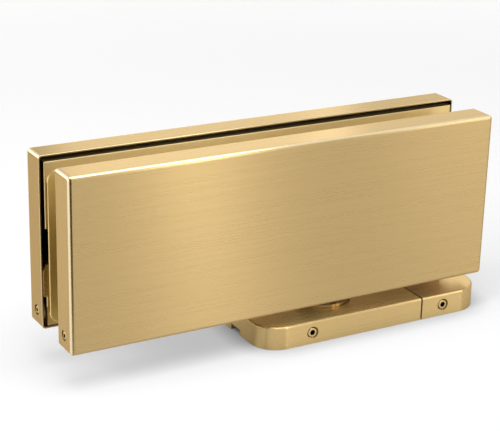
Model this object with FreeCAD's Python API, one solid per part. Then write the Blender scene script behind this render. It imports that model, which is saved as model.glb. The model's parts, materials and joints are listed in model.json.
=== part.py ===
import FreeCAD, Part
import math
import os

V = FreeCAD.Vector
X_AXIS, Y_AXIS, Z_AXIS = V(1, 0, 0), V(0, 1, 0), V(0, 0, 1)
ORIGIN = V(0, 0, 0)
TOLERANCE = 1e-6

# Hydraulic patch hinge for a glass door, in millimetres.
# The origin is on the spindle's axis at floor level, +X runs to the pivot end, -Y to the front, +Z up.

# Covers
cover_length = 165.0
cover_height = 61.0
cover_depth = 10.5
cover_wall = 0.5
cover_corner_radius = 1.3
cover_edge_radius = 1.3
cover_rim_radius = 0.2
overall_thickness = 35.0
pivot_from_end = 60.0
floor_gap = 13.5

# Glass and clamp plates
glass_thickness = 10.0
gasket_thickness = 1.0
plate_thickness = 4.0
plate_inset = 1.5
plate_top_inset = 2.0
plate_edge_radius = 0.4
gasket_side_margin = 0.7
gasket_top_margin = 2.9
gasket_corner_radius = 4.0
gasket_edge_radius = 0.4
glass_lap_end = 14.0
glass_clearance = 0.5
edge_notch_depth = 2.5
edge_notch_low = 12.0
edge_notch_high = 36.0
clip_length = 11.4
clip_slope = 2.6

# Cylinder block
block_side_gap = 1.2
block_corner_radius = 4.0
block_lift = 1.4
block_roof = 4.0
block_end_gap = 3.0
cylinder_rise = 21.5
cylinder_radius = 11.0
chamber_radius = 13.0
chamber_half_height = 8.7
chamber_floor_drop = 8.5
bore_shoulder = 1.0
cap_length = 9.0
ear_half_length = 7.0
ear_height = 9.0
ear_gap = 0.6
ear_inset = 14.5
ear_cap_gap = 4.0
end_ear_length = 10.5

# Floor base
base_left_reach = 33.5
base_overhang = 1.5
base_half_width = 18.5
base_height = 8.5
base_wall = 2.2
base_top_wall = 1.8
base_left_radius = 9.5
base_right_radius = 11.5
base_edge_radius = 0.8
base_end_length = 28.5
base_split_gap = 0.6
pry_notch_width = 6.4
pry_notch_y = 2.1
pry_notch_height = 2.2
floor_plate_roof_gap = 0.7
floor_hole_radius = 2.75
floor_countersink_radius = 5.0
floor_hole_end_inset = 10.5
floor_hole_half_spacing = 9.0

# Spindle, socket and bearings
collar_radius = 11.0
collar_height = 1.1
socket_flange_radius = 14.0
socket_flange_half_width = 12.0
socket_seat_height = 2.0
socket_floor = 0.6
tang_radius = 6.0
tang_half_width = 4.4
spindle_flange_radius = 11.5
spindle_flange_thickness = 2.0
shaft_radius = 6.0
cam_seat_radius = 5.2
cam_key_half_width = 4.2
journal_radius = 4.5
bush_wall = 2.5
race_thickness = 1.0
needle_radius = 1.0
needle_count = 12
needle_inner = 7.4
needle_outer = 10.6
cage_thickness = 0.9
bearing_recess_radius = 13.0
seal_height = 2.0
seal_wall = 3.0

# Cam, pistons and rollers
fork_shaft_gap = 0.5
cam_lift = 5.0
swing_degrees = 90.0
roller_radius = 4.0
roller_height = 7.0
cam_height = 8.0
pin_radius = 2.0
cam_arc_steps = 12
cam_search_degrees = 60
hold_open_depth = 0.3
fork_arm_thickness = 3.3
fork_half_width = 4.5
fork_side_gap = 0.2
crown_gap = 1.0
crown_length = 14.0
spigot_radius = 6.0
spigot_length = 4.0
seal_ring_width = 2.0
seal_ring_depth = 1.5
oil_way_radius = 1.2
check_chamber_radius = 2.6
check_chamber_depth = 6.0
check_ball_radius = 2.2
check_plug_length = 7.0

# Springs
spring_outer_radius = 9.5
spring_inner_radius = 6.5
closing_spring_turns = 6
closing_wire = 3.0
damper_spring_turns = 3
damper_wire = 1.4

# Fasteners and valves
clamp_bolt_radius = 2.5
clamp_head_radius = 4.0
clamp_head_height = 3.5
clamp_key_radius = 1.9
clamp_key_depth = 2.0
cover_screw_radius = 1.5
cover_screw_length = 6.0
cover_screw_rise = 5.4
cover_screw_inset = 5.75
cover_lug_length = 6.0
cover_lug_half_size = 2.8
base_screw_radius = 2.0
base_screw_length = 6.0
base_screw_left_inset = 19.7
base_screw_right_inset = 18.9
screw_key_share = 0.55
screw_key_depth = 1.8
screw_recess = 0.15
screw_bevel = 0.4
screw_mouth_gap = 0.3
screw_mouth_depth = 0.7
valve_radius = 2.0
valve_head_length = 7.0
valve_stem_radius = 1.3
valve_stem_length = 6.0
valve_tip_length = 3.0
valve_side_wall = 1.1
valve_top_wall = 2.5
valve_slot_width = 0.8
valve_slot_depth = 1.2
plug_radius = 2.5
plug_x = 24.0
plug_clearance = 0.6
cap_key_radius = 4.5
cap_key_depth = 3.5
top_cap_hole_radius = 1.5
top_cap_hole_offset = 9.5
top_cap_crown = 1.8

# Clearances
running_clearance = 0.05
fixed_clearance = 0.02
cam_clearance = 0.12
free_clearance = 0.3
thread_clearance = 0.05

# How far the pieces of one solid reach into each other before they are joined
join_depth = 1.0

# Places worked out from the sizes above
cover_right = pivot_from_end
cover_left = pivot_from_end - cover_length
cover_bottom = floor_gap
cover_top = floor_gap + cover_height
cover_face = overall_thickness / 2
cover_rim = cover_face - cover_depth
glass_face = glass_thickness / 2
plate_inner = glass_face + gasket_thickness
plate_outer = plate_inner + plate_thickness
plate_left = cover_left + plate_inset
plate_right = cover_right - plate_inset
plate_bottom = cover_bottom + plate_inset
plate_top = cover_top - plate_top_inset
block_half_width = cover_face - cover_wall - block_side_gap
notch_left = cover_left + glass_lap_end
ear_left = notch_left + glass_clearance
block_left = ear_left + end_ear_length
block_right = cover_right - block_end_gap
block_bottom = cover_bottom + block_lift
cylinder_height = cover_bottom + cylinder_rise
block_top = cylinder_height + cylinder_radius + block_roof
ear_top = block_top + ear_height
notch_top = ear_top + glass_clearance
ear_bolt_height = block_top + clamp_head_radius + glass_clearance
middle_ear_x = -chamber_radius - ear_cap_gap - ear_half_length
ear_bolts_x = (block_left + ear_inset, middle_ear_x, block_right - ear_inset)
end_bolt_x = block_left - clamp_head_radius - glass_clearance
end_bolt_height = cover_bottom + cover_wall + clamp_head_radius + glass_clearance
chamber_floor = cylinder_height - chamber_floor_drop
cam_bottom = cylinder_height - cam_height / 2
cam_top = cylinder_height + cam_height / 2
spindle_flange_bottom = block_bottom + free_clearance
race_bottom = spindle_flange_bottom + spindle_flange_thickness
needle_level = race_bottom + race_thickness + needle_radius
race_top = needle_level + needle_radius + race_thickness
bush_bottom = race_top + seal_height
piston_radius = cylinder_radius - running_clearance
spring_cap_face = -block_left - cap_length
damper_cap_face = block_right - cap_length
top_cap_bottom = cylinder_height + chamber_half_height
journal_top = block_top - top_cap_crown - 2 * free_clearance
cover_screw_height = cover_bottom + cover_screw_rise
cover_screw_y = cover_face - cover_screw_inset
clip_bottom = cover_bottom + edge_notch_low + running_clearance
pitch_closed = shaft_radius + fork_half_width + fork_shaft_gap
pitch_open = pitch_closed + cam_lift
fork_arm_low = cam_height / 2 + fork_side_gap
fork_arm_high = fork_arm_low + fork_arm_thickness
valve_offset = block_half_width - valve_radius - valve_side_wall
valve_height = block_top - valve_radius - valve_top_wall
floor_plate_thickness = base_height - base_top_wall - floor_plate_roof_gap
base_left = -base_left_reach
base_right = cover_right + base_overhang
floor_holes_x = (base_left + floor_hole_end_inset, base_right - floor_hole_end_inset)
base_split_x = base_right - base_end_length
base_screws_x = (base_left + base_screw_left_inset, base_right - base_screw_right_inset)
base_screw_height = base_height / 2
collar_top = base_height + collar_height


def box(x0, x1, y0, y1, z0, z1):
    """A block between two opposite corners."""
    return Part.makeBox(x1 - x0, y1 - y0, z1 - z0, V(x0, y0, z0))


def rod_x(radius, x0, x1, y=0.0, z=cylinder_height):
    """A round bar along X, on the cylinder's axis unless moved."""
    return Part.makeCylinder(radius, x1 - x0, V(x0, y, z), X_AXIS)


def rod_y(radius, y0, y1, x, z):
    """A round bar along Y."""
    return Part.makeCylinder(radius, y1 - y0, V(x, y0, z), Y_AXIS)


def rod_z(radius, z0, z1, x=0.0, y=0.0):
    """A round bar along Z, on the spindle's axis unless moved."""
    return Part.makeCylinder(radius, z1 - z0, V(x, y, z0), Z_AXIS)


def ring_x(outer, inner, x0, x1):
    """A ring round the cylinder's axis."""
    return rod_x(outer, x0, x1).cut(rod_x(inner, x0, x1))


def ring_z(outer, inner, z0, z1):
    """A ring round the spindle's axis."""
    return rod_z(outer, z0, z1).cut(rod_z(inner, z0, z1))


def flatted_rod(radius, half_width, z0, z1):
    """A bar on the spindle's axis with two flats that face X."""
    return rod_z(radius, z0, z1).common(box(-half_width, half_width, -radius, radius, z0, z1))


def polar(radius, degrees, z=0.0):
    """A point at a distance and direction from the spindle's axis."""
    angle = math.radians(degrees)
    return V(radius * math.cos(angle), radius * math.sin(angle), z)


def hexagon_prism(corner_radius, depth, start, direction):
    """A six-sided key recess that runs from a face into a piece."""
    hexagon = Part.makePolygon([polar(corner_radius, degrees) for degrees in range(0, 361, 60)])
    prism = Part.Face(hexagon).extrude(V(0, 0, depth))
    prism.Placement = FreeCAD.Placement(start, FreeCAD.Rotation(Z_AXIS, direction))
    return prism


def fused(shapes):
    """One solid from touching pieces, without seam lines."""
    return shapes[0].multiFuse(shapes[1:]).removeSplitter()


def front_to_back(shape):
    """The same piece mirrored through the glass plane."""
    return shape.mirror(ORIGIN, Y_AXIS)


def half_turn(shape):
    """The same piece turned half round the spindle."""
    turned = shape.copy()
    turned.rotate(ORIGIN, Z_AXIS, 180)
    return turned


def edges_along(shape, axis):
    """The straight edges that run along an axis."""
    straight = [edge for edge in shape.Edges if isinstance(edge.Curve, Part.Line)]
    return [edge for edge in straight if edge.Curve.Direction.cross(axis).Length < TOLERANCE]


def edges_at(shape, axis, level):
    """The edges that lie in one plane square to an axis."""
    flat = []
    for edge in shape.Edges:
        heights = [vertex.Point.dot(axis) for vertex in edge.Vertexes]
        if all(abs(height - level) < TOLERANCE for height in heights):
            flat.append(edge)
    return flat


def export(node, shapes):
    """Writes one node, as a group of solids where it holds several."""
    solids = [solid for shape in shapes for solid in shape.Solids]
    shape = solids[0] if len(solids) == 1 else Part.makeCompound(solids)
    shape.exportStep("parts/" + node + ".step")


# Covers


def rounded_tray(inset):
    """The front cover's outer form, drawn in from all its closed sides."""
    y_face = -cover_face + inset
    tray = box(cover_left + inset, cover_right - inset, y_face, -cover_rim,
               cover_bottom + inset, cover_top - inset)
    tray = tray.makeFillet(cover_corner_radius - inset, edges_along(tray, Y_AXIS))
    return tray.makeFillet(cover_edge_radius - inset, edges_at(tray, Y_AXIS, y_face))


def front_cover():
    """A thin tray that opens towards the glass, with a set screw hole low in each end."""
    tray = rounded_tray(0.0)
    tray = tray.makeFillet(cover_rim_radius, edges_at(tray, Y_AXIS, -cover_rim))
    shell = tray.cut(rounded_tray(cover_wall))
    hole_radius = cover_screw_radius + screw_mouth_gap
    for end in (cover_left, cover_right):
        hole = rod_x(hole_radius, end - cover_wall, end + cover_wall, -cover_screw_y, cover_screw_height)
        shell = shell.cut(hole)
    return shell


# Clamp plates and gaskets


def cover_lug():
    """A block on the front plate's left end that takes the cover's set screw."""
    return box(plate_left, plate_left + cover_lug_length, -cover_screw_y - cover_lug_half_size, -plate_inner,
               plate_bottom, cover_screw_height + cover_lug_half_size)


def lug_screw_hole():
    """The set screw's thread in the lug."""
    return rod_x(cover_screw_radius + thread_clearance, plate_left, plate_left + cover_lug_length,
                 -cover_screw_y, cover_screw_height)


def clip_notch():
    """The notch in a plate's left edge where the cover clip sits."""
    return box(plate_left, plate_left + edge_notch_depth, -plate_outer, -plate_inner,
               cover_bottom + edge_notch_low, cover_bottom + edge_notch_high)


def clamp_plate(bolt_clearance):
    """The front angle-shaped plate, which reaches along the glass above and beside the block."""
    plate = box(plate_left, plate_right, -plate_outer, -plate_inner, plate_bottom, plate_top)
    plate = plate.makeFillet(plate_edge_radius, edges_at(plate, Y_AXIS, -plate_inner))
    block_room = box(block_left - glass_clearance, plate_right, -plate_outer, -plate_inner,
                     plate_bottom, block_top + glass_clearance)
    plate = fused([plate.cut(block_room), cover_lug()])
    plate = plate.cut(clip_notch()).cut(lug_screw_hole())
    for x, z in clamp_bolt_places():
        plate = plate.cut(rod_y(clamp_bolt_radius + bolt_clearance, -plate_outer, -plate_inner, x, z))
    return plate


def front_gasket():
    """An angle-shaped pad with rounded corners between the front plate and the glass."""
    x0 = plate_left + gasket_side_margin
    x1 = plate_right - gasket_side_margin
    z0 = plate_bottom + gasket_side_margin
    z1 = plate_top - gasket_top_margin
    pad = box(x0, x1, -plate_inner, -glass_face, z0, z1)
    outer = edges_at(pad, X_AXIS, x0) + edges_at(pad, Z_AXIS, z1)
    corners = [edge for edge in edges_along(pad, Y_AXIS) if any(edge.isSame(other) for other in outer)]
    pad = pad.makeFillet(gasket_corner_radius, corners)
    pad = pad.cut(box(notch_left, x1, -plate_inner, -glass_face, z0, notch_top))
    return pad.makeFillet(gasket_edge_radius, edges_at(pad, Y_AXIS, -glass_face))


def cover_clip():
    """A sloped catch in the front plate's notch that bears on the cover's end wall."""
    outer = cover_left + cover_wall + running_clearance
    inner = plate_left + edge_notch_depth - running_clearance
    top = clip_bottom + clip_length
    outline = Part.makePolygon([
        V(outer, 0, clip_bottom),
        V(inner, 0, clip_bottom),
        V(inner, 0, top),
        V(plate_left + running_clearance, 0, top),
        V(outer, 0, top - clip_slope),
        V(outer, 0, clip_bottom),
    ])
    catch = Part.Face(outline).extrude(V(0, plate_thickness, 0))
    return catch.translated(V(0, -plate_outer, 0))


# Cylinder block


def clamp_bolt_places():
    """The centres of the clamp bolts, above the block and at its left end."""
    return [(x, ear_bolt_height) for x in ear_bolts_x] + [(end_bolt_x, end_bolt_height)]


def bolt_ears():
    """Lugs between the plates that the clamp bolts pass through."""
    rear_face = plate_inner - ear_gap
    ears = []
    for x in ear_bolts_x:
        ears.append(box(x - ear_half_length, x + ear_half_length, -plate_inner, rear_face,
                        block_top - join_depth, ear_top))
    ears.append(box(ear_left, block_left + join_depth, -plate_inner, rear_face,
                    block_bottom, end_bolt_height + clamp_head_radius))
    return ears


def valve_inner_end():
    """How deep the valves' bores reach."""
    return block_right - valve_head_length - valve_stem_length - valve_tip_length - free_clearance


def block_cuts():
    """Every bore in the cylinder block."""
    cuts = [
        rod_x(cylinder_radius, block_left, bore_shoulder - chamber_radius),
        rod_x(cylinder_radius, chamber_radius - bore_shoulder, block_right),
        rod_z(chamber_radius, chamber_floor, block_top),
        rod_z(bearing_recess_radius, block_bottom, race_top),
        rod_z(shaft_radius + seal_wall, race_top, bush_bottom),
        rod_z(shaft_radius + bush_wall, bush_bottom, chamber_floor),
        rod_z(plug_radius, cylinder_height, block_top, plug_x),
    ]
    for side in (-1, 1):
        cuts.append(rod_x(valve_radius + running_clearance, valve_inner_end(), block_right,
                          side * valve_offset, valve_height))
        cuts.append(rod_x(cover_screw_radius + thread_clearance, block_right - cover_screw_length,
                          plate_right, side * cover_screw_y, cover_screw_height))
    for x, z in clamp_bolt_places():
        cuts.append(rod_y(clamp_bolt_radius + thread_clearance, -plate_inner, plate_inner, x, z))
    return cuts


def main_body():
    """The cylinder block in one casting with the ears that the clamp plates hold."""
    block = box(block_left, block_right, -block_half_width, block_half_width, block_bottom, block_top)
    block = block.makeFillet(block_corner_radius, edges_along(block, X_AXIS))
    return fused([block] + bolt_ears()).cut(Part.makeCompound(block_cuts()))


def screwed_cap(face, end):
    """A cylinder end cap with a spring spigot, a seal groove and a key recess, on the +X side."""
    spigot = rod_x(spigot_radius, face - spigot_length, face + join_depth)
    cap = fused([rod_x(piston_radius, face, end), spigot])
    cap = cap.cut(hexagon_prism(cap_key_radius, cap_key_depth, V(end, 0, cylinder_height), -X_AXIS))
    return cap.cut(cap_seal(face))


def cap_seal(face):
    """The seal ring of an end cap."""
    low = face + seal_ring_width
    return ring_x(piston_radius, piston_radius - seal_ring_depth, low, low + seal_ring_width)


def top_cap():
    """The screwed lid of the cam chamber, bored for the upper bush."""
    cap = rod_z(chamber_radius - fixed_clearance, top_cap_bottom, block_top)
    crown_low = block_top - top_cap_crown
    cap = cap.cut(rod_z(journal_radius + bush_wall, top_cap_bottom, crown_low))
    for side in (-1, 1):
        cap = cap.cut(rod_z(top_cap_hole_radius, crown_low, block_top, side * top_cap_hole_offset))
    return cap.cut(top_cap_seal())


def top_cap_seal():
    """The seal ring of the top cap."""
    outer = chamber_radius - fixed_clearance
    low = top_cap_bottom + seal_ring_width / 2
    return ring_z(outer, outer - seal_ring_depth, low, low + seal_ring_width)


def oil_plug():
    """The screw that closes the oil filling hole."""
    low = cylinder_height + cylinder_radius + plug_clearance
    plug = rod_z(plug_radius - fixed_clearance, low, block_top, plug_x)
    key = hexagon_prism(plug_radius * screw_key_share, screw_key_depth, V(plug_x, 0, block_top), -Z_AXIS)
    return plug.cut(key)


# Floor base


def base_outline(inset):
    """The floor base's outline, rounded more at the pivot end, drawn in by a distance."""
    x0 = base_left + inset
    x1 = base_right - inset
    y = base_half_width - inset
    left = base_left_radius - inset
    right = base_right_radius - inset
    half = math.sqrt(0.5)

    def corner(cx, cy, radius, sx, sy, turn):
        points = [V(cx + sx * radius, cy, 0), V(cx + sx * radius * half, cy + sy * radius * half, 0),
                  V(cx, cy + sy * radius, 0)]
        return Part.Arc(*points[::turn]).toShape()

    edges = [
        Part.makeLine(V(x0 + left, -y, 0), V(x1 - right, -y, 0)),
        corner(x1 - right, -y + right, right, 1, -1, -1),
        Part.makeLine(V(x1, -y + right, 0), V(x1, y - right, 0)),
        corner(x1 - right, y - right, right, 1, 1, 1),
        Part.makeLine(V(x1 - right, y, 0), V(x0 + left, y, 0)),
        corner(x0 + left, y - left, left, -1, 1, -1),
        Part.makeLine(V(x0, y - left, 0), V(x0, -y + left, 0)),
        corner(x0 + left, -y + left, left, -1, -1, 1),
    ]
    return Part.Face(Part.Wire(edges))


def base_shell():
    """The whole floor cover before it is split, with holes for its set screws and the collar."""
    shell = base_outline(0.0).extrude(V(0, 0, base_height))
    shell = shell.makeFillet(base_edge_radius, edges_at(shell, Z_AXIS, base_height))
    shell = shell.cut(base_outline(base_wall).extrude(V(0, 0, base_height - base_top_wall)))
    shell = shell.cut(rod_z(collar_radius + free_clearance, 0, base_height))
    for x in base_screws_x:
        screw_hole = rod_y(base_screw_radius + thread_clearance, -base_half_width, base_half_width,
                           x, base_screw_height)
        shell = shell.cut(screw_hole)
        for side in (-1, 1):
            shell = shell.cut(base_screw_mouth(x, side))
    notch = box(base_left, base_left + base_wall, pry_notch_y - pry_notch_width / 2,
                pry_notch_y + pry_notch_width / 2, 0, pry_notch_height)
    return shell.cut(notch)


def base_screw_mouth(x, side):
    """The wider mouth of a base set screw's hole."""
    y0, y1 = sorted((side * base_half_width, side * (base_half_width - screw_mouth_depth)))
    return rod_y(base_screw_radius + screw_mouth_gap, y0, y1, x, base_screw_height)


def base_cover():
    """The long piece of the floor cover, left of the split."""
    end = base_split_x - base_split_gap / 2
    return base_shell().common(box(base_left, end, -base_half_width, base_half_width, 0, base_height))


def base_end_cover():
    """The short piece of the floor cover, at the pivot end."""
    start = base_split_x + base_split_gap / 2
    return base_shell().common(box(start, base_right, -base_half_width, base_half_width, 0, base_height))


def floor_plate():
    """The plate that is screwed to the floor and holds the spindle's socket from turning."""
    plate = base_outline(base_wall + free_clearance).extrude(V(0, 0, floor_plate_thickness))
    pocket = flatted_rod(socket_flange_radius + fixed_clearance, socket_flange_half_width + fixed_clearance,
                         socket_seat_height, floor_plate_thickness)
    plate = plate.cut(pocket)
    sink_depth = floor_countersink_radius - floor_hole_radius
    for x in floor_holes_x:
        for y in (-floor_hole_half_spacing, floor_hole_half_spacing):
            plate = plate.cut(rod_z(floor_hole_radius, 0, floor_plate_thickness, x, y))
            sink = Part.makeCone(floor_hole_radius, floor_countersink_radius, sink_depth,
                                 V(x, y, floor_plate_thickness - sink_depth))
            plate = plate.cut(sink)
    for x in base_screws_x:
        for side in (-1, 1):
            plate = plate.cut(base_screw_room(x, side))
    return plate


def base_screw_room(x, side):
    """The hole in the floor plate that a base set screw reaches into."""
    outer = base_half_width
    inner = base_half_width - screw_recess - base_screw_length - fixed_clearance
    y0, y1 = sorted((side * outer, side * inner))
    return rod_y(base_screw_radius + thread_clearance, y0, y1, x, base_screw_height)


def spindle_socket():
    """The flatted bush with a collar that holds the spindle's tang."""
    flange = flatted_rod(socket_flange_radius, socket_flange_half_width,
                         socket_seat_height, floor_plate_thickness)
    collar = rod_z(collar_radius, socket_seat_height, collar_top)
    slot = flatted_rod(tang_radius + fixed_clearance, tang_half_width + fixed_clearance,
                       socket_seat_height + socket_floor, collar_top)
    return fused([flange, collar]).cut(slot)


# Spindle, cam and bearings


def spindle():
    """The fixed shaft: flatted foot, thrust flange, round shaft, keyed seat for the cam and top journal."""
    foot_low = socket_seat_height + socket_floor + fixed_clearance
    return fused([
        flatted_rod(tang_radius, tang_half_width, foot_low, collar_top),
        rod_z(tang_radius, collar_top, spindle_flange_bottom),
        rod_z(spindle_flange_radius, spindle_flange_bottom, race_bottom),
        rod_z(shaft_radius, race_bottom, cam_bottom),
        flatted_rod(cam_seat_radius, cam_key_half_width, cam_bottom, cam_top),
        rod_z(journal_radius, cam_top, journal_top),
    ])


def pitch_radius(degrees):
    """The roller centre's distance from the axis, for a direction seen from the cam."""
    turned = degrees % 180.0
    share = min(turned / swing_degrees, 1.0)
    if degrees % 360.0 < 180.0:
        return pitch_open - cam_lift * share
    return pitch_closed + cam_lift * share


def cam_radius(degrees):
    """The largest radius that stays clear of the roller in every position."""
    reach = roller_radius + cam_clearance
    radius = pitch_open
    for step in range(-cam_search_degrees, cam_search_degrees + 1):
        offset = math.radians(step)
        centre = pitch_radius(degrees + step)
        side = centre * math.sin(offset)
        if abs(side) < reach:
            radius = min(radius, centre * math.cos(offset) - math.sqrt(reach ** 2 - side ** 2))
    return radius


def cam_arc(start, end):
    """One smooth stretch of the cam's outline."""
    points = []
    for index in range(cam_arc_steps + 1):
        degrees = start + (end - start) * index / cam_arc_steps
        points.append(polar(cam_radius(degrees), degrees, cam_bottom))
    curve = Part.BSplineCurve()
    curve.interpolate(points)
    return curve.toShape()


def closing_cam():
    """The disc cam that pushes the rollers apart, with a shallow seat that holds the door open."""
    turns = (0.0, swing_degrees, 180.0, 180.0 + swing_degrees, 360.0)
    outline = Part.Wire([cam_arc(start, end) for start, end in zip(turns, turns[1:])])
    cam = Part.Face(outline).extrude(V(0, 0, cam_height))
    seat = polar(pitch_open - hold_open_depth, 180.0 + swing_degrees)
    seat_cut = rod_z(roller_radius + cam_clearance, cam_bottom, cam_top, seat.x, seat.y)
    bore = flatted_rod(cam_seat_radius + fixed_clearance, cam_key_half_width + fixed_clearance,
                       cam_bottom, cam_top)
    return cam.cut(seat_cut).cut(bore)


def race(low):
    """One washer of the needle thrust bearing."""
    return ring_z(spindle_flange_radius, shaft_radius + free_clearance, low, low + race_thickness)


def thrust_needles():
    """The needles of the thrust bearing, lying like spokes."""
    needle = Part.makeCylinder(needle_radius - fixed_clearance, needle_outer - needle_inner,
                               V(needle_inner, 0, needle_level), X_AXIS)
    needles = []
    for index in range(needle_count):
        spoke = needle.copy()
        spoke.rotate(ORIGIN, Z_AXIS, 360.0 * index / needle_count)
        needles.append(spoke)
    return needles


def needle_cage():
    """The flat ring with a window for each needle."""
    half = cage_thickness / 2
    cage = ring_z(spindle_flange_radius - free_clearance, shaft_radius + 2 * free_clearance,
                  needle_level - half, needle_level + half)
    room = needle_radius + running_clearance
    window = box(needle_inner - running_clearance, needle_outer + running_clearance, -room, room,
                 needle_level - half, needle_level + half)
    for index in range(needle_count):
        turned = window.copy()
        turned.rotate(ORIGIN, Z_AXIS, 360.0 * index / needle_count)
        cage = cage.cut(turned)
    return cage


def spindle_seal():
    """The oil seal round the shaft above the thrust bearing."""
    return ring_z(shaft_radius + seal_wall - fixed_clearance, shaft_radius + running_clearance,
                  race_top, bush_bottom)


def lower_bush():
    """The bush in the chamber's floor."""
    return ring_z(shaft_radius + bush_wall - fixed_clearance, shaft_radius + running_clearance,
                  bush_bottom, chamber_floor)


def upper_bush():
    """The bush in the top cap."""
    return ring_z(journal_radius + bush_wall - fixed_clearance, journal_radius + running_clearance,
                  top_cap_bottom, block_top - top_cap_crown)


# Pistons, rollers and springs, made on the +X side


def crown_start(pitch):
    """Where a piston's crown begins when its roller is at a pitch radius."""
    return pitch + roller_radius + crown_gap


def fork_piston(pitch):
    """A piston with two fork arms that carry the roller's pin."""
    start = crown_start(pitch)
    end = start + crown_length
    pieces = [rod_x(piston_radius, start, end), rod_x(spigot_radius, end - join_depth, end + spigot_length)]
    for low, high in ((-fork_arm_high, -fork_arm_low), (fork_arm_low, fork_arm_high)):
        z0 = cylinder_height + low
        z1 = cylinder_height + high
        arm = box(pitch, start + join_depth, -fork_half_width, fork_half_width, z0, z1)
        pieces.append(fused([arm, rod_z(fork_half_width, z0, z1, pitch)]))
    piston = fused(pieces)
    pin_hole = rod_z(pin_radius + fixed_clearance, cylinder_height - cylinder_radius,
                     cylinder_height + cylinder_radius, pitch)
    return piston.cut(pin_hole).cut(piston_seal(pitch))


def piston_seal(pitch):
    """The seal ring in a piston's crown."""
    low = crown_start(pitch) + crown_length / 2 - seal_ring_width / 2
    return ring_x(piston_radius, piston_radius - seal_ring_depth, low, low + seal_ring_width)


def roller(pitch):
    """A cam roller, free on its pin."""
    low = cylinder_height - roller_height / 2
    high = cylinder_height + roller_height / 2
    return rod_z(roller_radius, low, high, pitch).cut(rod_z(pin_radius + running_clearance, low, high, pitch))


def roller_pin(pitch):
    """The pin through both fork arms."""
    return rod_z(pin_radius, cylinder_height - fork_arm_high, cylinder_height + fork_arm_high, pitch)


def check_start():
    """Where the check valve's chamber begins in the closing piston."""
    return crown_start(pitch_closed) + check_chamber_depth


def check_end():
    """The open end of the check valve's chamber."""
    return crown_start(pitch_closed) + crown_length + spigot_length


def closing_piston():
    """The spring-loaded piston, with a one-way oil passage along its axis."""
    start = crown_start(pitch_closed)
    piston = fork_piston(pitch_closed)
    piston = piston.cut(rod_x(oil_way_radius, start, check_end()))
    return piston.cut(rod_x(check_chamber_radius, check_start(), check_end()))


def check_ball():
    """The ball of the one-way valve, against its seat."""
    seat = math.sqrt(check_ball_radius ** 2 - oil_way_radius ** 2) + fixed_clearance
    return Part.makeSphere(check_ball_radius, V(check_start() + seat, 0, cylinder_height))


def check_plug():
    """The drilled plug that keeps the ball in its chamber."""
    return ring_x(check_chamber_radius - fixed_clearance, oil_way_radius,
                  check_end() - check_plug_length, check_end())


def flat_wire_spring(start, end, turns, wire):
    """A coil spring of flat wire with ground ends, along the cylinder's axis."""
    length = end - start
    middle = (spring_outer_radius + spring_inner_radius) / 2
    half = (spring_outer_radius - spring_inner_radius) / 2
    pitch = length / turns
    helix = Part.makeHelix(pitch, length + wire, middle)
    section = Part.makePolygon([
        V(middle - half, 0, -wire / 2), V(middle + half, 0, -wire / 2),
        V(middle + half, 0, wire / 2), V(middle - half, 0, wire / 2), V(middle - half, 0, -wire / 2),
    ])
    coil = Part.Wire(helix.Edges).makePipeShell([section], True, True)
    coil = coil.translated(V(0, 0, -wire / 2)).common(rod_z(spring_outer_radius + join_depth, 0, length))
    coil.Placement = FreeCAD.Placement(V(start, 0, cylinder_height), FreeCAD.Rotation(Z_AXIS, X_AXIS))
    return coil


# Fasteners and valves


def clamp_bolts():
    """Round-headed bolts from the rear plate through the block's ears into the front plate."""
    bolts = []
    for x, z in clamp_bolt_places():
        top = plate_outer + clamp_head_height
        shank = rod_y(clamp_bolt_radius, -plate_outer, plate_outer + join_depth, x, z)
        head = rod_y(clamp_head_radius, plate_outer, top, x, z)
        key = hexagon_prism(clamp_key_radius, clamp_key_depth, V(x, top, z), -Y_AXIS)
        bolts.append(fused([shank, head]).cut(key))
    return bolts


def set_screw(radius, length, start, direction):
    """A headless screw with a bevelled outer end and a key recess in it."""
    bevel = Part.makeCone(radius - screw_bevel, radius, screw_bevel, start, direction)
    shank = Part.makeCylinder(radius, length - screw_bevel, start + direction * screw_bevel, direction)
    return fused([bevel, shank]).cut(hexagon_prism(radius * screw_key_share, screw_key_depth, start, direction))


def cover_set_screws():
    """The screws that hold the covers by their ends."""
    screws = []
    for y in (-cover_screw_y, cover_screw_y):
        left = V(cover_left + screw_recess, y, cover_screw_height)
        right = V(cover_right - screw_recess, y, cover_screw_height)
        screws.append(set_screw(cover_screw_radius, cover_screw_length, left, X_AXIS))
        screws.append(set_screw(cover_screw_radius, cover_screw_length, right, -X_AXIS))
    return screws


def base_set_screws():
    """The screws that hold the base covers to the floor plate."""
    screws = []
    for x in base_screws_x:
        for side in (-1, 1):
            start = V(x, side * (base_half_width - screw_recess), base_screw_height)
            screws.append(set_screw(base_screw_radius, base_screw_length, start, Y_AXIS * -side))
    return screws


def speed_valve(y):
    """A needle valve in the block's right end, with a slotted head."""
    head = block_right - screw_recess
    shoulder = head - valve_head_length
    tip = shoulder - valve_stem_length
    point = V(tip - valve_tip_length, y, valve_height)
    valve = fused([
        rod_x(valve_radius, shoulder, head, y, valve_height),
        rod_x(valve_stem_radius, tip, shoulder + join_depth, y, valve_height),
        Part.makeCone(0.0, valve_stem_radius, valve_tip_length, point, X_AXIS),
    ])
    return valve.cut(box(head - valve_slot_depth, head, y - valve_radius, y + valve_radius,
                         valve_height - valve_slot_width / 2, valve_height + valve_slot_width / 2))


os.makedirs("parts", exist_ok=True)

cover = front_cover()
gasket = front_gasket()
clip = cover_clip()
closing_seat = crown_start(pitch_closed) + crown_length
damper_seat = crown_start(pitch_open) + crown_length
closing_spring = flat_wire_spring(closing_seat, spring_cap_face, closing_spring_turns, closing_wire)
damper_spring = flat_wire_spring(damper_seat, damper_cap_face, damper_spring_turns, damper_wire)

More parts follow.
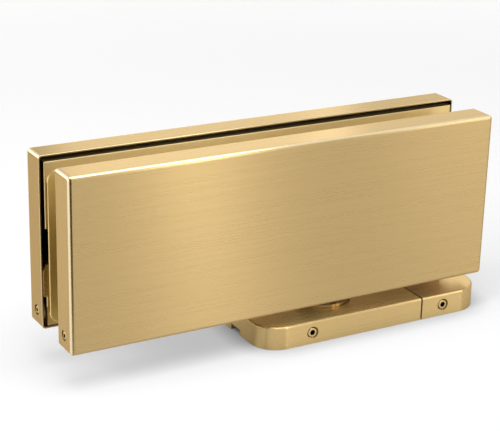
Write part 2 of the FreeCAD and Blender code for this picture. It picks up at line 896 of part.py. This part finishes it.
export("floor_plate", [floor_plate()])
export("base_cover", [base_cover()])
export("base_end_cover", [base_end_cover()])
export("base_set_screws", base_set_screws())
export("spindle_socket", [spindle_socket()])
export("spindle", [spindle()])
export("closing_cam", [closing_cam()])
export("thrust_lower_race", [race(race_bottom)])
export("thrust_needles", thrust_needles())
export("needle_cage", [needle_cage()])

export("main_body", [main_body()])
export("front_clamp_plate", [clamp_plate(thread_clearance)])
export("rear_clamp_plate", [front_to_back(clamp_plate(free_clearance))])
export("front_cover", [cover])
export("rear_cover", [front_to_back(cover)])
export("front_gasket", [gasket])
export("rear_gasket", [front_to_back(gasket)])
export("cover_clips", [clip, front_to_back(clip)])
export("clamp_bolts", clamp_bolts())
export("cover_set_screws", cover_set_screws())
export("thrust_upper_race", [race(race_top - race_thickness)])
export("spindle_seal", [spindle_seal()])
export("lower_bush", [lower_bush()])
export("upper_bush", [upper_bush()])
export("top_cap", [top_cap()])
export("oil_plug", [oil_plug()])
export("spring_end_cap", [half_turn(screwed_cap(spring_cap_face, -block_left))])
export("damper_end_cap", [screwed_cap(damper_cap_face, block_right)])
export("cap_seals", [half_turn(cap_seal(spring_cap_face)), cap_seal(damper_cap_face), top_cap_seal()])
export("closing_spring", [half_turn(closing_spring)])
export("damper_spring", [damper_spring])

export("closing_piston", [half_turn(closing_piston())])
export("closing_piston_seal", [half_turn(piston_seal(pitch_closed))])
export("closing_roller_pin", [half_turn(roller_pin(pitch_closed))])
export("closing_roller", [half_turn(roller(pitch_closed))])
export("check_ball", [half_turn(check_ball())])
export("check_plug", [half_turn(check_plug())])
export("damper_piston", [fork_piston(pitch_open)])
export("damper_piston_seal", [piston_seal(pitch_open)])
export("damper_roller_pin", [roller_pin(pitch_open)])
export("damper_roller", [roller(pitch_open)])
export("closing_speed_valve", [speed_valve(-valve_offset)])
export("latching_speed_valve", [speed_valve(valve_offset)])
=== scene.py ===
import json
import math

import bpy
from mathutils import Matrix, Vector


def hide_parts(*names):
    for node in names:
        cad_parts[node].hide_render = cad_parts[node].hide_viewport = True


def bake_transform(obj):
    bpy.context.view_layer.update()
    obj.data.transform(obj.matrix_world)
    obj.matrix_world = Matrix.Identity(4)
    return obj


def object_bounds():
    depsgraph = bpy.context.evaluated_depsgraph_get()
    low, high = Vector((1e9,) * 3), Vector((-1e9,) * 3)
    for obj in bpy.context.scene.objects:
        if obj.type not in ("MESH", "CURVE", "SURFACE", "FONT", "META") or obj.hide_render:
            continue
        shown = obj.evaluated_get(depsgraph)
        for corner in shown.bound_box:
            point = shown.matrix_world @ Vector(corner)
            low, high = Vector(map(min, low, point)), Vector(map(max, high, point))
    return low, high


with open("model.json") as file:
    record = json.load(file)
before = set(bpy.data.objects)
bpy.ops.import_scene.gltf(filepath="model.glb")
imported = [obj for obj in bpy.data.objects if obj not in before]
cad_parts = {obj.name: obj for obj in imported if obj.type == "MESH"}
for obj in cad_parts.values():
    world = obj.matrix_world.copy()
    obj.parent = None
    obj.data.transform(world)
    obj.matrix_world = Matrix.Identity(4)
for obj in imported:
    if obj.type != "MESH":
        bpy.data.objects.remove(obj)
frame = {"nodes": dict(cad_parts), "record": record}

# Hydraulic patch hinge in brushed brass, in metres.
# -Y is the front cover, +X the pivot end, +Z up, and the floor is at zero.

cad_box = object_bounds()
nodes = frame["nodes"]

# Camera, solved from the corners of the covers
camera_aim = Vector((-0.0233, 0.0115, 0.0398))
camera_distance = 0.5348
camera_azimuth = math.radians(-29.89)
camera_elevation = math.radians(19.98)
camera_roll = math.radians(1.46)
camera_lens = 107.76

# Colours, linear
brass_colour = (0.462, 0.326, 0.145)
# The rear cover and the collar take the brass a shade darker: painted shade.
rear_painted_shade_colour = (0.40, 0.279, 0.119)
# The base takes the brass lighter: painted light.
base_painted_light_colour = (0.57, 0.402, 0.173)
# The base cover's top is lighter still: painted light where it lies in shade under the covers.
base_top_painted_light_colour = (0.88, 0.645, 0.26)
plate_colour = (0.70, 0.52, 0.23)
# The plates' tops are near black: painted shade in the gap between the covers.
plate_top_painted_shade_colour = (0.06, 0.042, 0.016)
gasket_colour = (0.85, 0.63, 0.22)
# A painted highlight on rounded edges.
painted_highlight_colour = (0.80, 0.66, 0.42)
screw_colour = (0.62, 0.44, 0.19)
# Painted shade in the key recesses of screws.
recess_painted_shade_colour = (0.02, 0.013, 0.005)
clip_colour = (0.56, 0.41, 0.19)
steel_colour = (0.50, 0.50, 0.49)
hard_steel_colour = (0.60, 0.60, 0.59)
spring_colour = (0.16, 0.16, 0.165)
bronze_colour = (0.50, 0.31, 0.14)
seal_colour = (0.018, 0.018, 0.019)
white = (1.0, 1.0, 1.0)

# Tints of the gloss of brushed metal, on its top and on its other faces: a painted sheen, whiter on the
# tops and darker and warmer on the other faces
top_painted_sheen_tint = (1.0, 0.945, 0.81)
side_painted_sheen_tint = (0.9, 0.76, 0.6)

# Brushed metals: colour, roughness, share of the painted highlight on rounded edges, whether the ends are
# round, and colour of the top, painted shade on the plates and painted light on the base cover. Where the
# ends are round, only the edges that turn up get the painted highlight.
brushed_metals = {
    "satin_brass": (brass_colour, 0.28, 1.0, False, None),
    "gold_aluminium": (plate_colour, 0.5, 0.3, False, plate_top_painted_shade_colour),
    "gasket": (gasket_colour, 0.5, 0.3, False, None),
    "base_brass": (base_painted_light_colour, 0.28, 0.15, True, None),
    "base_cover_brass": (base_painted_light_colour, 0.28, 0.15, True, base_top_painted_light_colour),
    "collar_brass": (rear_painted_shade_colour, 0.28, 0.15, True, None),
    "rear_brass": (rear_painted_shade_colour, 0.28, 1.0, False, None),
}

# Grained materials: colour, roughness, noise cells in a metre, and how far the grain changes the colour
grained_metals = {
    "clip_metal": (clip_colour, 0.3, 1500.0, 0.06),
    "steel": (steel_colour, 0.32, 1200.0, 0.06),
    "hard_steel": (hard_steel_colour, 0.18, 2500.0, 0.03),
    "spring_steel": (spring_colour, 0.42, 900.0, 0.06),
    "bronze": (bronze_colour, 0.3, 1400.0, 0.06),
}
screw_metals = {"screw_brass": (screw_colour, 0.25, 1500.0, 0.06)}
rubbers = {"seal": (seal_colour, 0.55, 1100.0, 0.12)}

# Nodes with another material than the one their slot names
own_materials = {
    "rear_cover": "rear_brass",
    "base_cover": "base_cover_brass",
    "base_end_cover": "base_brass",
    "spindle_socket": "collar_brass",
    "base_set_screws": "screw_brass",
    "cover_set_screws": "screw_brass",
}

# Springs, and the body of the piston that squeezes each of them
springs = {"closing_spring": "closing_piston", "damper_spring": "damper_piston"}

# The part of the noise's range that carries a change
noise_low = 0.25
noise_high = 0.75

# Brush lines: noise cells in a metre along and across a line, octaves, change of colour and of roughness
along_brush = 22.0
across_lines = 3400.0
line_detail = 1.0
line_change = 0.022
line_roughness_change = 0.04

# Roughness where the painted highlight on edges is full, as a share of the metal's own
edge_smoothness = 0.6

# Grain: octaves, change of roughness, and strength and depth of the relief
grain_detail = 4.0
metal_roughness_change = 0.2
metal_relief = (0.1, 0.00002)
rubber_roughness_change = 0.1
rubber_relief = (0.15, 0.00003)

# How far a surface faces a direction where one look gives way to another, from nothing to all of it
edge_begins = (0.5, 0.65)
edge_ends = (0.99, 0.96)
end_lines_begin = (0.6, 0.8)
top_begins = (0.8, 0.98)

# The gloss is stretched along the cross product of the normal with this axis,
# and upright where that is nothing
brush_axis = (1.0, 0.0, 0.0)
upright_lean = (0.0, 0.0, 0.02)

# Painted shade in the key recesses of screws: how near other metal is, and the share of open sky over
# which they go dark
recess_shade_reach = 0.0016
recess_shade_begins = (0.75, 0.45)

# Light from all round, as it shows and as it lights matt surfaces
studio_white = 0.982
world_level = 0.16

# The floor glows for the camera and reflections, more with distance, and less close under the object,
# where a painted shadow cuts the glow
floor_size = 30.0
floor_colour = (0.54, 0.54, 0.54)
near_floor = 0.3
near_floor_glow = 0.475
far_floor = 1.2
far_floor_glow = 0.88
floor_painted_shadow_reach = 0.009

# Lamps: azimuth from the front towards +X and elevation, in degrees, width, height, radiance, whether they
# light matt surfaces such as the floor, and whether metal shows them.
# The back lamps show in the tops and the left ends, and the strip draws the bright band on the front.
lamp_distance = 1.6
lamps = (
    ("overhead", 20.0, 76.0, 1.4, 1.4, 2.0, True, True),
    ("floor_light", -40.0, 70.0, 1.6, 1.6, 1.1, True, False),
    ("back", 152.0, 22.0, 0.42, 1.0, 1.32, False, True),
    ("back_right", 139.5, 22.0, 0.32, 1.0, 0.72, False, True),
    ("back_left", -150.0, 20.0, 0.5, 1.0, 2.0, False, True),
    ("left", -100.0, 15.0, 1.0, 0.8, 2.5, False, True),
    ("floor_left", -82.0, 22.0, 1.0, 0.9, 6.9, True, False),
    ("strip", 26.7, 19.0, 0.06, 1.05, 13.0, False, True),
    ("right", 45.0, 19.0, 0.36, 1.05, 2.6, False, True),
)

# A dark upright card in front of the left end, which only reflections see
card_left = -0.156
card_right = -0.0975
card_front = -0.060
card_height = 0.2
card_colour = (0.16, 0.14, 0.11)


def opaque(colour):
    """A colour with full alpha."""
    return tuple(colour) + (1.0,)


def new_object(name, data):
    """An object that is in the scene."""
    made = bpy.data.objects.new(name, data)
    bpy.context.scene.collection.objects.link(made)
    return made


def emptied(owner):
    """The node tree of a material or a world, with nothing in it."""
    owner.use_nodes = True
    owner.node_tree.nodes.clear()
    return owner.node_tree


def new_material(name):
    """A material, its node tree and its main shader."""
    material = bpy.data.materials.new(name)
    tree = emptied(material)
    output = tree.nodes.new("ShaderNodeOutputMaterial")
    shader = tree.nodes.new("ShaderNodeBsdfPrincipled")
    tree.links.new(shader.outputs["BSDF"], output.inputs["Surface"])
    return material, tree, shader


def maths(tree, operation, first, second):
    """One sum on two values, of which either may be a plain number."""
    node = tree.nodes.new("ShaderNodeMath")
    node.operation = operation
    for socket, value in zip(node.inputs, (first, second)):
        if isinstance(value, float):
            socket.default_value = value
        else:
            tree.links.new(value, socket)
    return node.outputs["Value"]


def ramped(tree, value, start, end, low=0.0, high=1.0, way="SMOOTHSTEP"):
    """A value taken from one range to another."""
    node = tree.nodes.new("ShaderNodeMapRange")
    node.interpolation_type = way
    node.inputs["From Min"].default_value = start
    node.inputs["From Max"].default_value = end
    node.inputs["To Min"].default_value = low
    node.inputs["To Max"].default_value = high
    tree.links.new(value, node.inputs["Value"])
    return node.outputs["Result"]


def mixed(tree, factor, first, second):
    """A colour between two others, of which either may be plain."""
    mix = tree.nodes.new("ShaderNodeMix")
    mix.data_type = "RGBA"
    sockets = [s for s in mix.inputs if s.enabled]
    tree.links.new(factor, sockets[0])
    for socket, colour in zip(sockets[1:], (first, second)):
        if isinstance(colour, tuple):
            socket.default_value = opaque(colour)
        else:
            tree.links.new(colour, socket)
    return next(s for s in mix.outputs if s.enabled)


def stretched_noise(tree, scale, detail):
    """Noise in the object's own space, with its own scale on each axis, per metre."""
    place = tree.nodes.new("ShaderNodeTexCoord")
    mapping = tree.nodes.new("ShaderNodeMapping")
    mapping.inputs["Scale"].default_value = scale
    noise = tree.nodes.new("ShaderNodeTexNoise")
    noise.inputs["Scale"].default_value = 1.0
    noise.inputs["Detail"].default_value = detail
    tree.links.new(place.outputs["Object"], mapping.inputs["Vector"])
    tree.links.new(mapping.outputs["Vector"], noise.inputs["Vector"])
    return noise.outputs["Fac"]


def varied(tree, noise, middle, change):
    """A number that noise makes a little smaller and larger."""
    low = middle * (1.0 - change)
    high = middle * (1.0 + change)
    return ramped(tree, noise, noise_low, noise_high, low, high, "LINEAR")


def tinted(tree, noise, colour, change):
    """A colour that noise makes a little darker and lighter."""
    ramp = tree.nodes.new("ShaderNodeValToRGB")
    dark, light = ramp.color_ramp.elements
    dark.position = noise_low
    light.position = noise_high
    dark.color = opaque(c * (1.0 - change) for c in colour)
    light.color = opaque(c * (1.0 + change) for c in colour)
    tree.links.new(noise, ramp.inputs["Fac"])
    return ramp.outputs["Color"]


def bumped(tree, noise, shader, strength, depth):
    """Fine relief from noise."""
    bump = tree.nodes.new("ShaderNodeBump")
    bump.inputs["Strength"].default_value = strength
    bump.inputs["Distance"].default_value = depth
    tree.links.new(noise, bump.inputs["Height"])
    tree.links.new(bump.outputs["Normal"], shader.inputs["Normal"])


def open_sky(tree, reach):
    """One where nothing is within reach, and less in corners and under other pieces; the mask of painted
    shade in screw recesses and on the floor.
    """
    node = tree.nodes.new("ShaderNodeAmbientOcclusion")
    node.inputs["Distance"].default_value = reach
    return node.outputs["AO"]


def facing(tree):
    """How far a surface faces either end, and how far it faces up."""
    place = tree.nodes.new("ShaderNodeTexCoord")
    parts = tree.nodes.new("ShaderNodeSeparateXYZ")
    tree.links.new(place.outputs["Normal"], parts.inputs["Vector"])
    return maths(tree, "ABSOLUTE", parts.outputs["X"], 0.0), parts.outputs["Z"]


def part_turned(tree, value):
    """One where a rounded edge has turned most of the way to a face, and zero on the face."""
    return maths(tree, "MULTIPLY", ramped(tree, value, *edge_begins), ramped(tree, value, *edge_ends))


def painted_highlight_edges(tree, round_ends):
    """One on edges rounded to the top and to flat ends, where a bright line is painted as a highlight."""
    end, up = facing(tree)
    upper = part_turned(tree, up)
    if round_ends:
        return upper
    return maths(tree, "MAXIMUM", upper, part_turned(tree, end))


def brush_lines(tree):
    """Fine lines along X on the long faces, and upright on the ends."""
    long_lines = stretched_noise(tree, (along_brush, across_lines, across_lines), line_detail)
    end_lines = stretched_noise(tree, (across_lines, across_lines, along_brush), line_detail)
    mix = tree.nodes.new("ShaderNodeMix")
    tree.links.new(ramped(tree, facing(tree)[0], *end_lines_begin), mix.inputs["Factor"])
    tree.links.new(long_lines, mix.inputs["A"])
    tree.links.new(end_lines, mix.inputs["B"])
    return mix.outputs["Result"]


def stretch_gloss(tree, shader):
    """Stretches the gloss across the lines on the long faces and tops, and upright on the ends."""
    place = tree.nodes.new("ShaderNodeTexCoord")
    cross = tree.nodes.new("ShaderNodeVectorMath")
    cross.operation = "CROSS_PRODUCT"
    cross.inputs[1].default_value = brush_axis
    lean = tree.nodes.new("ShaderNodeVectorMath")
    lean.operation = "ADD"
    lean.inputs[1].default_value = upright_lean
    turn = tree.nodes.new("ShaderNodeVectorTransform")
    turn.vector_type = "VECTOR"
    turn.convert_from = "OBJECT"
    turn.convert_to = "WORLD"
    tree.links.new(place.outputs["Normal"], cross.inputs[0])
    tree.links.new(cross.outputs["Vector"], lean.inputs[0])
    tree.links.new(lean.outputs["Vector"], turn.inputs["Vector"])
    tree.links.new(turn.outputs["Vector"], shader.inputs["Tangent"])


def brushed_metal(name, colour, roughness, painted_highlight_share, round_ends, top_colour):
    """Satin metal with brush lines, a painted highlight on rounded edges, and painted light or shade on
    the top where a top colour is given.
    """
    material, tree, shader = new_material(name)
    lines = brush_lines(tree)
    # Painted highlight on rounded edges.
    edges = maths(tree, "MULTIPLY", painted_highlight_edges(tree, round_ends), painted_highlight_share)
    upward = ramped(tree, facing(tree)[1], *top_begins)
    paint = tinted(tree, lines, colour, line_change)
    # Painted light or shade on the top: lighter on the base cover, near black on the plates.
    if top_colour:
        paint = mixed(tree, upward, paint, tinted(tree, lines, top_colour, line_change))
    paint = mixed(tree, edges, paint, painted_highlight_colour)
    satin = varied(tree, lines, roughness, line_roughness_change)
    smoother = ramped(tree, edges, 0.0, 1.0, 1.0, edge_smoothness)
    shader.inputs["Metallic"].default_value = 1.0
    shader.inputs["Anisotropic"].default_value = 1.0
    # Painted sheen: the gloss takes its tint from whether the face turns up.
    tree.links.new(mixed(tree, upward, side_painted_sheen_tint, top_painted_sheen_tint), shader.inputs["Specular Tint"])
    tree.links.new(paint, shader.inputs["Base Color"])
    tree.links.new(maths(tree, "MULTIPLY", satin, smoother), shader.inputs["Roughness"])
    stretch_gloss(tree, shader)
    return material


def grained_metal(name, colour, roughness, scale, change):
    """Plain machined or anodised metal with a fine even grain."""
    material, tree, shader = new_material(name)
    grain = stretched_noise(tree, (scale, scale, scale), grain_detail)
    shader.inputs["Metallic"].default_value = 1.0
    tree.links.new(tinted(tree, grain, colour, change), shader.inputs["Base Color"])
    tree.links.new(varied(tree, grain, roughness, metal_roughness_change), shader.inputs["Roughness"])
    bumped(tree, grain, shader, *metal_relief)
    return material


def screw_metal(name, colour, roughness, scale, change):
    """Bright screw ends, with painted shade in the key recesses."""
    material, tree, shader = new_material(name)
    grain = stretched_noise(tree, (scale, scale, scale), grain_detail)
    # Painted shade where other metal is near.
    shaded_recess = ramped(tree, open_sky(tree, recess_shade_reach), *recess_shade_begins)
    paint = mixed(tree, shaded_recess, tinted(tree, grain, colour, change), recess_painted_shade_colour)
    shader.inputs["Metallic"].default_value = 1.0
    tree.links.new(paint, shader.inputs["Base Color"])
    tree.links.new(varied(tree, grain, roughness, metal_roughness_change), shader.inputs["Roughness"])
    return material


def rubber(name, colour, roughness, scale, change):
    """Moulded rubber with a fine grain."""
    material, tree, shader = new_material(name)
    grain = stretched_noise(tree, (scale, scale, scale), grain_detail)
    tree.links.new(tinted(tree, grain, colour, change), shader.inputs["Base Color"])
    tree.links.new(varied(tree, grain, roughness, rubber_roughness_change), shader.inputs["Roughness"])
    bumped(tree, grain, shader, *rubber_relief)
    return material


def make_materials():
    """All materials of the part, by name."""
    kinds = (
        (brushed_metal, brushed_metals),
        (grained_metal, grained_metals),
        (screw_metal, screw_metals),
        (rubber, rubbers),
    )
    return {name: make(name, *look) for make, looks in kinds for name, look in looks.items()}


def dress_nodes():
    """Gives each CAD node its own material, or else the one that its slot names."""
    materials = make_materials()
    for part in frame["record"]["subparts"]:
        slots = nodes[part["node"]].data.materials
        slots.clear()
        slots.append(materials[own_materials.get(part["node"], part["material_slot"])])


def squeezed_spring(name):
    """A copy of a spring's coil, standing in place of its CAD node, which is hidden."""
    coil = new_object(name + "_coil", nodes[name].data.copy())
    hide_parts(name)
    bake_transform(coil)


def seen_directly(tree):
    """One where the camera, a reflection or a see-through piece looks, and zero for other light."""
    path = tree.nodes.new("ShaderNodeLightPath").outputs
    seen = maths(tree, "MAXIMUM", path["Is Camera Ray"], path["Is Glossy Ray"])
    return maths(tree, "MAXIMUM", seen, path["Is Transmission Ray"])


def make_floor():
    """A pale floor that keeps the shadow and shows as white, with a painted shadow in its glow close under
    the object.
    """
    bpy.ops.mesh.primitive_plane_add(size=floor_size)
    floor = bpy.context.object
    floor.name = "floor"
    material = bpy.data.materials.new("floor")
    tree = emptied(material)
    output = tree.nodes.new("ShaderNodeOutputMaterial")
    paint = tree.nodes.new("ShaderNodeBsdfDiffuse")
    paint.inputs["Color"].default_value = opaque(floor_colour)
    place = tree.nodes.new("ShaderNodeTexCoord")
    away = tree.nodes.new("ShaderNodeVectorMath")
    away.operation = "LENGTH"
    tree.links.new(place.outputs["Object"], away.inputs[0])
    level = ramped(tree, away.outputs["Value"], near_floor, far_floor, near_floor_glow, far_floor_glow)
    # Painted shadow: the glow is cut close under the object.
    shown = maths(tree, "MULTIPLY", seen_directly(tree), open_sky(tree, floor_painted_shadow_reach))
    glow = tree.nodes.new("ShaderNodeEmission")
    tree.links.new(maths(tree, "MULTIPLY", shown, level), glow.inputs["Strength"])
    both = tree.nodes.new("ShaderNodeAddShader")
    tree.links.new(paint.outputs["BSDF"], both.inputs[0])
    tree.links.new(glow.outputs["Emission"], both.inputs[1])
    tree.links.new(both.outputs["Shader"], output.inputs["Surface"])
    floor.data.materials.append(material)


def make_world():
    """A white studio that lights the object at a lower level than it shows."""
    world = bpy.data.worlds.new("studio")
    bpy.context.scene.world = world
    tree = emptied(world)
    output = tree.nodes.new("ShaderNodeOutputWorld")
    background = tree.nodes.new("ShaderNodeBackground")
    background.inputs["Color"].default_value = opaque(white)
    level = ramped(tree, seen_directly(tree), 0.0, 1.0, world_level, studio_white, "LINEAR")
    tree.links.new(level, background.inputs["Strength"])
    tree.links.new(background.outputs["Background"], output.inputs["Surface"])


def softbox(name, azimuth, elevation, width, height, radiance, spill, gloss):
    """A soft lamp that looks at the object, with its height square to the X axis."""
    turn = math.radians(azimuth)
    rise = math.radians(elevation)
    away = Vector((math.sin(turn) * math.cos(rise), -math.cos(turn) * math.cos(rise), math.sin(rise)))
    height_axis = away.cross(Vector((1.0, 0.0, 0.0))).normalized()
    width_axis = height_axis.cross(away)
    lamp = bpy.data.lights.new(name, "AREA")
    lamp.shape = "RECTANGLE"
    lamp.size = width
    lamp.size_y = height
    lamp.energy = radiance * math.pi * width * height
    light = new_object(name, lamp)
    light.visible_diffuse = spill
    light.visible_glossy = gloss
    place = (cad_box[0] + cad_box[1]) / 2 + away * lamp_distance
    turned = Matrix((width_axis, height_axis, away)).transposed().to_4x4()
    light.matrix_world = Matrix.Translation(place) @ turned


def make_card():
    """A dark card that draws the thin dark line beside the front cover's left edge."""
    mesh = bpy.data.meshes.new("dark_card")
    outline = ((card_left, 0.0), (card_right, 0.0), (card_right, card_height), (card_left, card_height))
    mesh.from_pydata([(x, card_front, z) for x, z in outline], [], [(0, 1, 2, 3)])
    material, _, shader = new_material("dark_card")
    shader.inputs["Base Color"].default_value = opaque(card_colour)
    mesh.materials.append(material)
    card = new_object("dark_card", mesh)
    card.visible_camera = False
    card.visible_diffuse = False
    card.visible_shadow = False


def make_camera():
    """The photograph's viewpoint."""
    data = bpy.data.cameras.new("camera")
    data.lens = camera_lens
    camera = new_object("camera", data)
    tilt = Matrix.Rotation(math.pi / 2 - camera_elevation, 4, "X")
    turn = Matrix.Rotation(camera_azimuth, 4, "Z") @ tilt @ Matrix.Rotation(camera_roll, 4, "Z")
    back = Matrix.Translation((0.0, 0.0, camera_distance))
    camera.matrix_world = Matrix.Translation(camera_aim) @ turn @ back
    bpy.context.scene.camera = camera


dress_nodes()
for spring, piston in springs.items():
    squeezed_spring(spring)
make_floor()
make_world()
for lamp_values in lamps:
    softbox(*lamp_values)
make_card()
make_camera()
bpy.context.scene.view_settings.view_transform = "Standard"
bpy.context.scene.cycles.caustics_reflective = False
